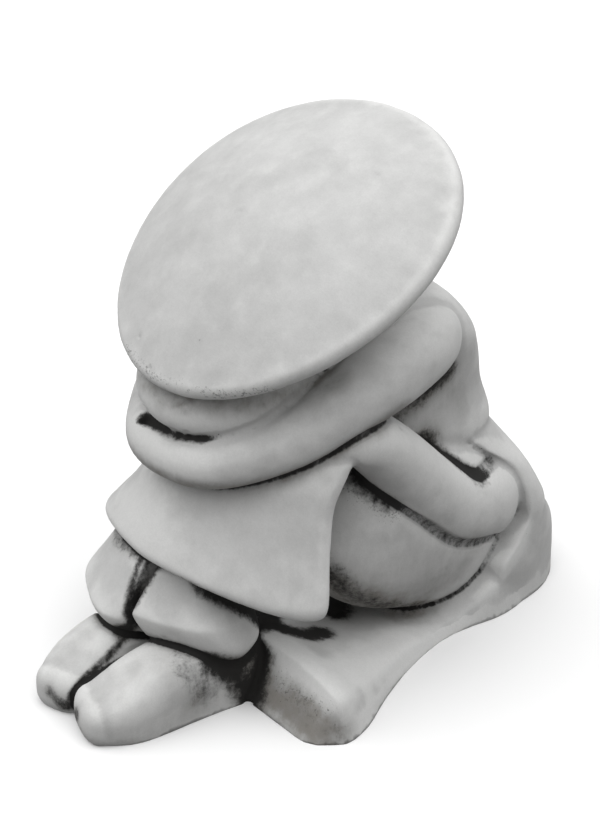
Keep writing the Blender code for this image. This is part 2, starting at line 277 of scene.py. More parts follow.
def limb(shape, stations, squareness=2.0, toe_length=None, toe_bluntness=2.0):
    """A tube of changing oval section with rounded ends.

    Each station is x, y, z, half width and half height. The width lies level and
    square to the path. A limb that has a toe length lies level, with upright
    sections, and ends in a toe of that length.
    """
    rows = between(stations)
    centers = [Vector(row[:3]) * MM for row in rows]
    frames = []
    for index, row in enumerate(rows):
        ahead = centers[min(index + 1, len(rows) - 1)] - centers[max(index - 1, 0)]
        ahead.normalize()
        across = ahead.cross(UP).normalized()
        up = UP if toe_length else across.cross(ahead)
        frames.append((centers[index], across, up, row[3] * MM, row[4] * MM))
    back = (centers[0] - centers[1]).normalized()
    front = (centers[-1] - centers[-2]).normalized()
    end_reach = toe_length * MM if toe_length else min(frames[-1][3:])
    rings = cap_rings(frames[0], back, min(frames[0][3:]), squareness, 2.0)
    rings.reverse()
    rings += [oval(*section, squareness) for section in frames]
    rings += cap_rings(frames[-1], front, end_reach, squareness, toe_bluntness)
    skin_rings(shape, rings)


lump(masses, BROW_MIDDLE, BROW_RADII, BROW_TILT)
lump(masses, SKULL_MIDDLE, SKULL_RADII, SKULL_TILT)
limb(masses, NECK_STATIONS)
mass_ends["head"] = len(masses.faces)

# The folded arms.
# Two wide sleeves meet in front and rest on the knees. Each is one soft roll
# that thickens on its way round and up to the shoulder.

FAR_ARM_DROP = 4.5
SLEEVE_SQUARENESS = 2.2
ARM_STATIONS = [
    (0.0, -85.5, 139.0, 21.0, 15.5),
    (24.0, -79.0, 143.5, 23.0, 16.0),
    (46.5, -56.5, 156.0, 21.0, 17.5),
    (58.5, -27.5, 169.5, 19.5, 18.5),
    (62.5, 2.0, 180.5, 20.0, 20.5),
    (58.0, 27.0, 186.0, 21.0, 20.5),
    (46.0, 45.0, 183.0, 21.0, 20.0),
    (34.0, 54.0, 177.0, 19.0, 18.0),
]


def on_both_sides(stations):
    """The stations, and the same ones on the figure's other side."""
    return stations, [(-row[0], *row[1:]) for row in stations]


near_arm, far_arm = on_both_sides(ARM_STATIONS)
far_arm = [(x, y, z - FAR_ARM_DROP, half_width, half_height)
           for x, y, z, half_width, half_height in far_arm]
limb(masses, far_arm[:0:-1] + near_arm, SLEEVE_SQUARENESS)
mass_ends["arms"] = len(masses.faces)

# The back and the robe's edge.
# The bent back under the robe is a broad upright mass. The robe ends in a thin
# roll that climbs from the ground round each hip.

BACK_LEVELS = [
    (0.0, 60.0, 60.0, 50.0, 40.0),
    (0.0, 62.0, 90.0, 54.0, 42.0),
    (0.0, 64.0, 116.0, 56.0, 46.0),
    (0.0, 55.0, 138.0, 52.0, 51.0),
    (0.0, 50.0, 160.0, 53.0, 52.5),
    (0.0, 42.0, 180.0, 57.0, 50.5),
    (0.0, 30.0, 198.0, 54.0, 46.0),
    (0.0, 17.0, 210.0, 42.0, 37.0),
    (0.0, 12.0, 217.0, 28.0, 28.0),
]
MANTLE_LEVELS = [
    (-12.0, 76.0, 88.0, 10.0, 74.0),
    (6.0, 76.0, 88.0, 10.0, 74.0),
    (30.0, 77.0, 87.0, 9.0, 73.0),
    (42.0, 76.0, 97.0, 8.0, 57.0),
    (55.0, 75.0, 107.0, 7.0, 35.0),
    (65.0, 75.0, 107.0, 7.0, 30.0),
    (78.0, 73.0, 104.0, 7.0, 25.0),
    (92.0, 68.0, 98.0, 7.0, 22.5),
    (106.0, 59.0, 82.0, 9.0, 31.0),
    (121.0, 50.0, 69.0, 10.0, 30.0),
    (136.0, 45.0, 60.0, 10.0, 28.0),
]
BACK_SQUARENESS = 2.9
MANTLE_FRONT_SQUARENESS = 3.0
MANTLE_REAR_SQUARENESS = 2.6


def level_rings(levels, squareness, turn=0.0):
    """Level rounded sections, one above the other, turned about the vertical.

    Each level is x and y of its middle, z, half width and half depth.
    """
    across = Vector((math.cos(turn), math.sin(turn), 0.0))
    deep = Vector((-math.sin(turn), math.cos(turn), 0.0))
    rings = []
    for x, y, z, half_width, half_depth in between(levels):
        center = Vector((x, y, z)) * MM
        rings.append(oval(center, across, deep, half_width * MM, half_depth * MM, squareness))
    return rings


FAR_HANG_SHARE = 1.7


def two_part_rings(levels, front_squareness, rear_squareness):
    """Level rings that are widest at one y, with a front and a rear of their own.

    Each level is z, half width, y of the widest place, and how far the front and
    the rear swell from there. Two more are how far the sides hang down, and the
    share of its width that the far side keeps.
    """
    rings = []
    for z, half_width, widest_y, front, rear, *sides in between(levels):
        hang, far_share = sides or (0.0, 1.0)
        ring = []
        for step in range(2 * RING_POINTS):
            at_rear = step <= RING_POINTS
            swell, squareness = (rear, rear_squareness) if at_rear else (front, front_squareness)
            c, s = rounded(math.pi * step / RING_POINTS, squareness)
            drop = hang * c * c
            if c < 0.0:
                drop *= FAR_HANG_SHARE
                c *= far_share
            ring.append(Vector((half_width * c, widest_y + s * swell, z - drop)) * MM)
        rings.append(ring)
    return rings


skin_rings(masses, level_rings(BACK_LEVELS, BACK_SQUARENESS))
mass_ends["back"] = len(masses.faces)
skin_rings(masses, two_part_rings(MANTLE_LEVELS, MANTLE_FRONT_SQUARENESS, MANTLE_REAR_SQUARENESS))
mass_ends["mantle"] = len(masses.faces)

# The thighs and haunches.
# The tunic hangs over each thigh as a roll from the knee back to a rounded hip.
# Under it the folded leg swells out as one broad egg that sits on the slab.

THIGH_SQUARENESS = 2.2
HAUNCH_MIDDLE = (33.0, 40.0, 67.0)
HAUNCH_RADII = (41.5, 71.0, 56.0)
HAUNCH_TILT = math.radians(-20.0)
HAUNCH_SQUARENESS = 2.5
THIGH_STATIONS = [
    (52.0, -30.0, 144.0, 20.0, 11.0),
    (55.0, -22.0, 148.0, 23.0, 14.0),
    (58.0, -11.0, 146.0, 24.0, 17.0),
    (59.0, 8.0, 129.0, 23.0, 19.0),
    (59.0, 34.0, 99.0, 23.0, 21.0),
    (57.0, 58.0, 77.0, 24.0, 24.0),
    (51.0, 84.0, 70.0, 26.0, 27.0),
]
for stations in on_both_sides(THIGH_STATIONS):
    limb(masses, stations, THIGH_SQUARENESS)
mass_ends["thighs"] = len(masses.faces)
for side in (1.0, -1.0):
    middle = (side * HAUNCH_MIDDLE[0], *HAUNCH_MIDDLE[1:])
    lump(masses, middle, HAUNCH_RADII, HAUNCH_TILT, HAUNCH_SQUARENESS)
mass_ends["haunches"] = len(masses.faces)

# The apron.
# The front of the tunic hangs over both knees like a small tent. Its hem is
# thick and drops to a corner at each side.

APRON_LEVELS = [
    (74.0, 60.0, -66.0, 20.0, 6.0, 6.0, 0.95),
    (79.0, 88.0, -67.0, 42.0, 12.0, 11.0, 0.95),
    (85.0, 95.0, -67.0, 49.0, 13.0, 12.0, 0.95),
    (94.0, 94.0, -65.0, 47.0, 14.0, 11.0, 0.88),
    (110.0, 86.0, -59.0, 41.0, 16.0, 8.0, 0.78),
    (126.0, 78.5, -51.0, 37.0, 19.0, 4.0, 0.75),
    (138.0, 77.0, -41.0, 38.0, 20.0, 0.0, 0.78),
    (148.0, 73.0, -32.0, 38.0, 20.0, 0.0, 0.82),
    (157.0, 52.0, -28.0, 32.0, 16.0, 0.0, 0.84),
]
APRON_FRONT_SQUARENESS = 1.6
APRON_REAR_SQUARENESS = 3.0

skin_rings(masses, two_part_rings(APRON_LEVELS, APRON_FRONT_SQUARENESS, APRON_REAR_SQUARENESS))
mass_ends["apron"] = len(masses.faces)

# The shins and feet.
# Two stout trouser legs come out under the hem, turned outward, and two blunt
# feet lie side by side before them. The far leg is set a little further forward.

SHIN_TURN = math.radians(27.0)
SHIN_SQUARENESS = 2.9
SHIN_GAP_BELOW = 1.0
SHIN_GAP_WIDENING = 0.06
SHIN_KNUCKLE_HEIGHT = 50.0
FAR_SHIN_REACH = 10.5
FAR_SHIN_DROP = 4.0
HEM_HEIGHT = 88.0
SHIN_LEVELS = [
    (24.0, -86.0, 20.0, 20.0, 10.0),
    (23.0, -88.0, 29.0, 25.0, 18.0),
    (22.0, -90.0, 38.0, 30.0, 22.0),
    (21.0, -92.0, 50.0, 35.5, 27.0),
    (21.0, -92.0, 56.0, 35.5, 27.0),
    (22.0, -89.0, 72.0, 33.0, 20.0),
    (24.0, -84.0, 90.0, 31.0, 16.0),
    (24.0, -80.0, 104.0, 26.0, 12.0),
]
FOOT_STATIONS = [
    (23.5, -78.0, 4.0, 24.0, 34.0),
    (22.0, -100.0, 6.0, 22.0, 32.5),
    (21.0, -125.0, 7.0, 21.0, 30.5),
    (20.0, -142.0, 8.5, 20.5, 24.5),
    (18.0, -152.0, 10.0, 19.0, 18.5),
    (15.5, -160.0, 10.0, 17.0, 14.5),
]
TOE_LENGTH = 12.0
TOE_BLUNTNESS = 2.3
FOOT_SQUARENESS = 2.9
NEAR_FOOT_OUTWARD = 1.0
NEAR_FOOT_WIDER = 2.5
FAR_HEEL_DROP = 3.5
HEEL_BEHIND = -110.0
NEAR_SHIN_INWARD = 8.0
NEAR_SHIN_FADE = 20.0
NEAR_SHIN_TAPER = 0.85
NEAR_SHIN_TAPER_FROM = 38.0
NEAR_SHIN_LEAST_WIDTH = 24.0
FAR_SHIN_FADE = 36.0
HEM_OVERLAP = 4.0

near_shin, far_shin = on_both_sides(SHIN_LEVELS)
near_levels = []
for x, y, z, half_width, half_depth in near_shin[:-1]:
    inward = NEAR_SHIN_INWARD * min(1.0, (HEM_HEIGHT + HEM_OVERLAP - z) / NEAR_SHIN_FADE)
    taper = NEAR_SHIN_TAPER * max(0.0, z - NEAR_SHIN_TAPER_FROM)
    taper = min(taper, 2.0 * half_width - NEAR_SHIN_LEAST_WIDTH)
    shift = 0.5 * (taper + inward)
    x -= shift * math.cos(SHIN_TURN)
    y -= shift * math.sin(SHIN_TURN) - 0.25 * taper
    half_width += 0.5 * (inward - taper)
    near_levels.append((x, y, z, half_width, half_depth))
far_levels = []
for x, y, z, half_width, half_depth in far_shin:
    reach = FAR_SHIN_REACH * min(1.0, max(0.0, (HEM_HEIGHT - z) / FAR_SHIN_FADE))
    far_levels.append((x - 0.5 * reach, y - reach, z - FAR_SHIN_DROP, half_width, half_depth))
for name, levels, side in (("near shin", near_levels, 1.0), ("far shin", far_levels, -1.0)):
    rings = level_rings(levels, SHIN_SQUARENESS, side * SHIN_TURN)
    for point in (point for ring in rings for point in ring):
        gap = SHIN_GAP_BELOW + SHIN_GAP_WIDENING * max(0.0, point.z / MM - SHIN_KNUCKLE_HEIGHT)
        point.x = side * max(side * point.x, gap * MM)
    skin_rings(masses, rings)
    mass_ends[name] = len(masses.faces)
near_foot, far_foot = on_both_sides(FOOT_STATIONS)
near_foot = [(x + NEAR_FOOT_OUTWARD, y, z, half_width + NEAR_FOOT_WIDER, half_height)
             for x, y, z, half_width, half_height in near_foot]
far_foot = [(x, y, z, half_width, half_height - FAR_HEEL_DROP * (y > HEEL_BEHIND))
            for x, y, z, half_width, half_height in far_foot]
for name, stations in (("near foot", near_foot), ("far foot", far_foot)):
    limb(masses, stations, FOOT_SQUARENESS, TOE_LENGTH, TOE_BLUNTNESS)
    mass_ends[name] = len(masses.faces)

# The slab and the core.
# The figure sits on a low slab of the same stone, a block under the knees that
# narrows past the haunches. The core is the stone between the legs, and a low
# web of it fills the gap between the feet.

SLAB_HALF_WIDTH = 110.0
SLAB_HEIGHT = 32.0
SLAB_BURIED = 10.0
SLAB_SQUARENESS = 8.0
SLAB_DROOP = 0.12
SLAB_LEVEL_TO = 76.0
CORE_SQUARENESS = 3.0
SLAB_SECTIONS = [
    (-83.0, 0.88, 0.08, 0.96),
    (-80.0, 0.93, 0.24, 0.94),
    (-74.0, 0.985, 0.60, 0.91),
    (-67.5, 1.02, 0.95, 0.915),
    (-64.5, 1.03, 1.02, 0.925),
    (-56.0, 1.025, 0.98, 0.92),
    (-42.0, 0.985, 0.80, 0.89),
    (-20.0, 0.875, 0.60, 0.91),
    (10.0, 0.755, 0.40, 0.92),
    (40.0, 0.685, 0.31, 0.93),
    (60.0, 0.69, 0.44, 0.94),
    (80.0, 0.715, 0.84, 0.96),
    (98.0, 0.70, 1.03, 0.96),
    (112.0, 0.66, 1.12, 0.94),
]
CORE_LEVELS = [
    (0.0, -30.0, -12.0, 30.0, 62.0),
    (0.0, -30.0, 30.0, 30.0, 62.0),
    (0.0, -20.0, 70.0, 32.0, 60.0),
    (0.0, -20.0, 120.0, 46.0, 52.0),
    (0.0, -16.0, 150.0, 44.0, 54.0),
    (0.0, 0.0, 185.0, 42.0, 50.0),
]
WEB_LEVELS = [
    (0.0, -112.0, -12.0, 10.0, 34.0),
    (0.0, -112.0, 12.0, 8.0, 32.0),
    (0.0, -108.0, 20.0, 5.0, 26.0),
]

slab_rings = []
for y, width_share, height_share, top_share in between(SLAB_SECTIONS):
    half_width = width_share * SLAB_HALF_WIDTH
    height = height_share * SLAB_HEIGHT
    ring = []
    for step in range(RING_POINTS):
        c, s = rounded(2.0 * math.pi * step / RING_POINTS, SLAB_SQUARENESS)
        z = 0.5 * (height - SLAB_BURIED) + 0.5 * (height + SLAB_BURIED) * s
        x = half_width * c * (1.0 - (1.0 - top_share) * max(z, 0.0) / height)
        droop = SLAB_DROOP * max(0.0, abs(x) - SLAB_LEVEL_TO) * max(0.0, z) / height
        ring.append(Vector((x, y, z - droop)) * MM)
    slab_rings.append(ring)
skin_rings(masses, slab_rings)
mass_ends["slab"] = len(masses.faces)
skin_rings(masses, level_rings(CORE_LEVELS, CORE_SQUARENESS))
skin_rings(masses, level_rings(WEB_LEVELS, CORE_SQUARENESS))

# The casting.
# All masses become one body of stone: fused, and softened as a worn mould
# softens its edges.

CASTING_VOXEL = 1.15
CASTING_SHRINKAGE = 1.0
CASTING_SOFTENING = 9
SEAM_REACH = 9.0
SEAMS = {
    ("hat", "head"): 0.5, ("hat", "arms"): 0.6, ("hat", "back"): 0.6, ("head", "arms"): 0.3,
    ("arms", "apron"): 0.8, ("arms", "thighs"): 0.8, ("back", "thighs"): 0.45,
    ("mantle", "thighs"): 0.25, ("mantle", "haunches"): 0.5, ("thighs", "haunches"): 0.7,
    ("apron", "haunches"): 1.0, ("apron", "near shin"): 1.0, ("apron", "far shin"): 1.0,
    ("near shin", "far shin"): 1.0, ("near shin", "near foot"): 1.0, ("far shin", "far foot"): 1.0,
    ("near shin", "far foot"): 1.0, ("far shin", "near foot"): 1.0, ("near foot", "far foot"): 1.0,
    ("slab", "near shin"): 1.0, ("slab", "far shin"): 1.0, ("slab", "near foot"): 1.0,
    ("slab", "far foot"): 1.0, ("slab", "haunches"): 0.6, ("slab", "apron"): 0.6,
}

bmesh.ops.recalc_face_normals(masses, faces=masses.faces)
masses.verts.index_update()
mass_points = [vertex.co.copy() for vertex in masses.verts]
mass_faces = [[vertex.index for vertex in face.verts] for face in masses.faces]
mass_trees = {}
first_face = 0
for name, last_face in mass_ends.items():
    mass_trees[name] = BVHTree.FromPolygons(mass_points, mass_faces[first_face:last_face])
    first_face = last_face
casting_mesh = bpy.data.meshes.new("sleeping_farmer")
masses.to_mesh(casting_mesh)
masses.free()
casting = bpy.data.objects.new("sleeping_farmer", casting_mesh)
scene.collection.objects.link(casting)


def settle(thing):
    """Turn what the object's modifiers make into its plain mesh, and drop them."""
    bpy.context.view_layer.update()
    depsgraph = bpy.context.evaluated_depsgraph_get()
    finished = bpy.data.meshes.new_from_object(thing.evaluated_get(depsgraph))
    thing.modifiers.clear()
    replaced = thing.data
    thing.data = finished
    bpy.data.meshes.remove(replaced)


fusing = casting.modifiers.new("fusing", "REMESH")
fusing.mode = "VOXEL"
fusing.voxel_size = CASTING_VOXEL * MM
fusing.use_smooth_shade = True
shrinking = casting.modifiers.new("shrinking", "DISPLACE")
shrinking.strength = -CASTING_SHRINKAGE * MM
shrinking.mid_level = 0.0
softening = casting.modifiers.new("softening", "SMOOTH")
softening.factor = 0.5
softening.iterations = CASTING_SOFTENING
settle(casting)


def find_seams(mesh):
    """How near each point of a mesh is to a seam between two masses, and how strong it is."""
    names = list(mass_trees)
    strengths = numpy.zeros((len(names), len(names)))
    for pair, strength in SEAMS.items():
        one, other = (names.index(name) for name in pair)
        strengths[one, other] = strengths[other, one] = strength
    away = numpy.full((len(mesh.vertices), len(names)), SEAM_REACH * MM)
    for column, tree in enumerate(mass_trees.values()):
        for row, vertex in enumerate(mesh.vertices):
            distance = tree.find_nearest(vertex.co, SEAM_REACH * MM)[3]
            if distance is not None:
                away[row, column] = distance
    allowed = strengths[away.argmin(axis=1)]
    away[allowed == 0.0] = SEAM_REACH * MM
    second = away.argmin(axis=1)
    rows = numpy.arange(len(away))
    return 1.0 - away[rows, second] / (SEAM_REACH * MM), allowed[rows, second]


def give_numbers(mesh, label, numbers):
    """Keep a number for each point of a mesh under a name."""
    mesh.attributes.new(label, "FLOAT", "POINT").data.foreach_set("value", numbers)


seam, strength = find_seams(casting.data)
give_numbers(casting.data, "seam", seam)
give_numbers(casting.data, "seam_strength", strength)

# The carved creases and the casting's pits.
# Narrow grooves are cut where cloth lies on cloth and foot lies by foot. Small
# pits, where air stuck to the mould, are thick along the hat's front rim only.

stone = bpy.data.materials.new("pale_cast_stone")

SLIT = [
    (-24, -93, 150), (-18, -92, 149), (-9, -92, 149), (3, -92, 150), (14, -89, 153), (23, -86, 157)]
SHIN_CREASE = [(-8, -110, 82), (-5, -118, 68), (-2, -125, 52), (-1, -122, 40)]
FOOT_CREASE = [(-6, -124, 32), (-3, -140, 26), (-2, -154, 21), (-1, -164, 14), (-1, -170, 4)]
SLEEVE_NOTCH = [(52, -84, 141), (57, -79, 144), (61, -73, 144)]
BOTH_SIDES = (1.0, -1.0)
ONE_SIDE = (1.0,)
CREASES = [
    (SLIT, ONE_SIDE, 3.8, 4.4),
    (SLEEVE_NOTCH, BOTH_SIDES, 2.4, 1.6),
]
SEAM_HALF_WIDTH = 2.7
SEAM_DEPTH = 2.0
PIT_PLACES = [((8, -103, 186), 40.0)]
PITS_PER_SQUARE_METRE = 5000.0
PIT_RADIUS = (1.1, 2.1)
PIT_DEPTH = 0.5
PIT_SEED = 7
STRAY_PITS = 0.015
SWELL_HEIGHT = 0.35
SWELL_SIZE = 16.0


class Signal:
    """A socket of a node tree, which adds its own Math nodes when it is calculated with."""

    def __init__(self, tree, socket):
        self.tree = tree
        self.socket = socket

    def node(self, kind, settings=None, sockets=None, output=0):
        """Add a node with its settings, then its sockets' values or links; give one output."""
        made = self.tree.nodes.new(kind)
        for name, setting in (settings or {}).items():
            setattr(made, name, setting)
        for key, value in (sockets or {}).items():
            if isinstance(value, Signal):
                self.tree.links.new(value.socket, made.inputs[key])
            else:
                made.inputs[key].default_value = value
        return Signal(self.tree, made.outputs[output])

    def math(self, operation, *values):
        """A Math node on these values."""
        return self.node("ShaderNodeMath", {"operation": operation}, dict(enumerate(values)))

    def vector(self, operation, *values, output=0):
        """A Vector Math node on these values."""
        return self.node(
            "ShaderNodeVectorMath", {"operation": operation}, dict(enumerate(values)), output)

    def scaled(self, amount):
        """This vector, made longer or shorter."""
        return self.node("ShaderNodeVectorMath", {"operation": "SCALE"}, {0: self, "Scale": amount})

    def __add__(self, other):
        return self.math("ADD", self, other)

    def __radd__(self, other):
        return self.math("ADD", other, self)

    def __sub__(self, other):
        return self.math("SUBTRACT", self, other)

    def __rsub__(self, other):
        return self.math("SUBTRACT", other, self)

    def __mul__(self, other):
        return self.math("MULTIPLY", self, other)

    def __rmul__(self, other):
        return self.math("MULTIPLY", other, self)

    def __truediv__(self, other):
        return self.math("DIVIDE", self, other)

    def __pow__(self, other):
        return self.math("POWER", self, other)

    def at_least(self, other):
        return self.math("MAXIMUM", self, other)

    def at_most(self, other):
        return self.math("MINIMUM", self, other)

    def between(self, low, high):
        """Nothing up to low, one from high on, and a smooth rise from the one to the other."""
        return self.node("ShaderNodeMapRange", {"interpolation_type": "SMOOTHSTEP"}, {
            "Value": self, "From Min": low, "From Max": high, "To Min": 0.0, "To Max": 1.0})


def marked_points(name, rows):
    """A hidden mesh of points with a width and a depth each, for a tree to read."""
    mesh = bpy.data.meshes.new(name)
    mesh.from_pydata([Vector(row[:3]) * MM for row in rows], [], [])
    for label, place in (("half_width", 3), ("depth", 4)):
        values = mesh.attributes.new(label, "FLOAT", "POINT")
        values.data.foreach_set("value", [row[place] * MM for row in rows])
    holder = bpy.data.objects.new(name, mesh)
    scene.collection.objects.link(holder)
    return holder


def side_points(path, sides, *more):
    """The smooth points of a path, on each side that it is on, with more numbers added."""
    return [(side * x, y, z, *more) for side in sides for x, y, z in between(path)]


crease_rows = []
for path, sides, half_width, depth in CREASES:
    crease_rows += side_points(path, sides, half_width, depth)
crease_points = marked_points("crease_points", crease_rows)
pit_places = marked_points("pit_places", [(*place, reach, 1.0) for place, reach in PIT_PLACES])

carving_tree = bpy.data.node_groups.new("carving", "GeometryNodeTree")
carving_tree.interface.new_socket("Body", in_out="INPUT", socket_type="NodeSocketGeometry")
for label, kind in (
    ("Creases", "NodeSocketObject"), ("Pit Places", "NodeSocketObject"),
    ("Seam Half Width", "NodeSocketFloat"), ("Seam Depth", "NodeSocketFloat"),
    ("Pits Per Square Metre", "NodeSocketFloat"), ("Stray Pits", "NodeSocketFloat"),
    ("Smallest Pit", "NodeSocketFloat"), ("Largest Pit", "NodeSocketFloat"),
    ("Pit Depth", "NodeSocketFloat"), ("Pit Seed", "NodeSocketInt"),
    ("Swell Height", "NodeSocketFloat"), ("Swells Per Metre", "NodeSocketFloat"),
):
    carving_tree.interface.new_socket(label, in_out="INPUT", socket_type=kind)
carving_tree.interface.new_socket("Body", in_out="OUTPUT", socket_type="NodeSocketGeometry")
given = carving_tree.nodes.new("NodeGroupInput")
finished = carving_tree.nodes.new("NodeGroupOutput")
wired = {socket.name: Signal(carving_tree, socket) for socket in given.outputs if socket.name}
body = wired["Body"]
here = body.node("GeometryNodeInputPosition")
outward = body.node("GeometryNodeBlurAttribute", {"data_type": "FLOAT_VECTOR"}, {
    "Value": body.node("GeometryNodeInputNormal"), "Iterations": 6})


def dent(points, radius, depth):
    """How deep the nearest of the points dents this place."""
    nearest = points.node("GeometryNodeSampleNearest", {"domain": "POINT"}, {"Geometry": points})
    spot = points.node("GeometryNodeSampleIndex", {"data_type": "FLOAT_VECTOR"}, {
        "Geometry": points, "Value": points.node("GeometryNodeInputPosition"), "Index": nearest})
    across = points.node("GeometryNodeSampleIndex", {"data_type": "FLOAT"}, {
        "Geometry": points, "Value": radius, "Index": nearest})
    down = points.node("GeometryNodeSampleIndex", {"data_type": "FLOAT"}, {
        "Geometry": points, "Value": depth, "Index": nearest})
    share = here.vector("DISTANCE", here, spot, output="Value") / across
    return down * (1.0 - share * share).at_least(0.0) ** 1.5


def in_stone(shape):
    """A tree's shape made real, with the stone on it."""
    real = shape.node("GeometryNodeRealizeInstances", None, {"Geometry": shape})
    return real.node("GeometryNodeSetMaterial", None, {"Geometry": real, "Material": stone})


def named(signal, label):
    """A number that the geometry carries under a name."""
    return signal.node("GeometryNodeInputNamedAttribute", {"data_type": "FLOAT"}, {"Name": label})


creases = body.node("GeometryNodeObjectInfo", None, {"Object": wired["Creases"]}, "Geometry")
crease_depth = dent(creases, named(body, "half_width"), named(body, "depth"))
places = body.node("GeometryNodeObjectInfo", None, {"Object": wired["Pit Places"]}, "Geometry")
pitted = dent(places, named(body, "half_width"), 1.0) + wired["Stray Pits"]
pit_points = body.node("GeometryNodeDistributePointsOnFaces", {"distribute_method": "RANDOM"}, {
    "Mesh": body, "Density": wired["Pits Per Square Metre"] * pitted, "Seed": wired["Pit Seed"],
}, "Points")
pit_radius = body.node("FunctionNodeRandomValue", {"data_type": "FLOAT"}, {
    2: wired["Smallest Pit"], 3: wired["Largest Pit"], "Seed": wired["Pit Seed"]}, 1)
pit_depth = dent(pit_points, pit_radius, wired["Pit Depth"])
swell = body.node("ShaderNodeTexNoise", None, {
    "Vector": here, "Scale": wired["Swells Per Metre"], "Detail": 3.0}) - 0.5
seam_share = (1.0 - named(body, "seam")) / wired["Seam Half Width"]
seam_depth = wired["Seam Depth"] * named(body, "seam_strength") * (
    1.0 - seam_share * seam_share).at_least(0.0)
relief = wired["Swell Height"] * swell * 2.0 - crease_depth.at_least(seam_depth) - pit_depth
carved = body.node("GeometryNodeSetPosition", None, {
    "Geometry": body, "Offset": outward.scaled(relief)})
carving_tree.links.new(in_stone(carved).socket, finished.inputs[0])


def run_tree(thing, tree, values):
    """Put a node tree on an object with its named inputs set, and settle it."""
    modifier = thing.modifiers.new(tree.name, "NODES")
    modifier.node_group = tree
    for item in tree.interface.items_tree:
        if item.in_out == "INPUT" and item.name in values:
            modifier[item.identifier] = values[item.name]
    settle(thing)


run_tree(casting, carving_tree, {
    "Creases": crease_points,
    "Pit Places": pit_places,
    "Seam Half Width": SEAM_HALF_WIDTH / SEAM_REACH,
    "Seam Depth": SEAM_DEPTH * MM,
    "Pits Per Square Metre": PITS_PER_SQUARE_METRE,
    "Stray Pits": STRAY_PITS,
    "Smallest Pit": PIT_RADIUS[0] * MM,
    "Largest Pit": PIT_RADIUS[1] * MM,
    "Pit Depth": PIT_DEPTH * MM,
    "Pit Seed": PIT_SEED,
    "Swell Height": SWELL_HEIGHT * MM,
    "Swells Per Metre": 1.0 / (SWELL_SIZE * MM),
})
for holder in (crease_points, pit_places):
    bpy.data.objects.remove(holder, do_unlink=True)

# The underside.
# The casting is rubbed down flat where it stands, and its mesh thinned.

CASTING_TRIANGLES = 196000

cut = bmesh.new()
cut.from_mesh(casting.data)
everything = cut.verts[:] + cut.edges[:] + cut.faces[:]
bmesh.ops.bisect_plane(
    cut, geom=everything, dist=0.00001, plane_co=(0.0, 0.0, 0.0), plane_no=(0.0, 0.0, -1.0),
    clear_outer=True,
)
rim_edges = [edge for edge in cut.edges if edge.is_boundary]
bmesh.ops.holes_fill(cut, edges=rim_edges, sides=0)
bmesh.ops.triangulate(cut, faces=cut.faces)
cut.to_mesh(casting.data)
cut.free()

thinning = casting.modifiers.new("thinning", "DECIMATE")
thinning.ratio = min(1.0, CASTING_TRIANGLES / len(casting.data.polygons))
settle(casting)
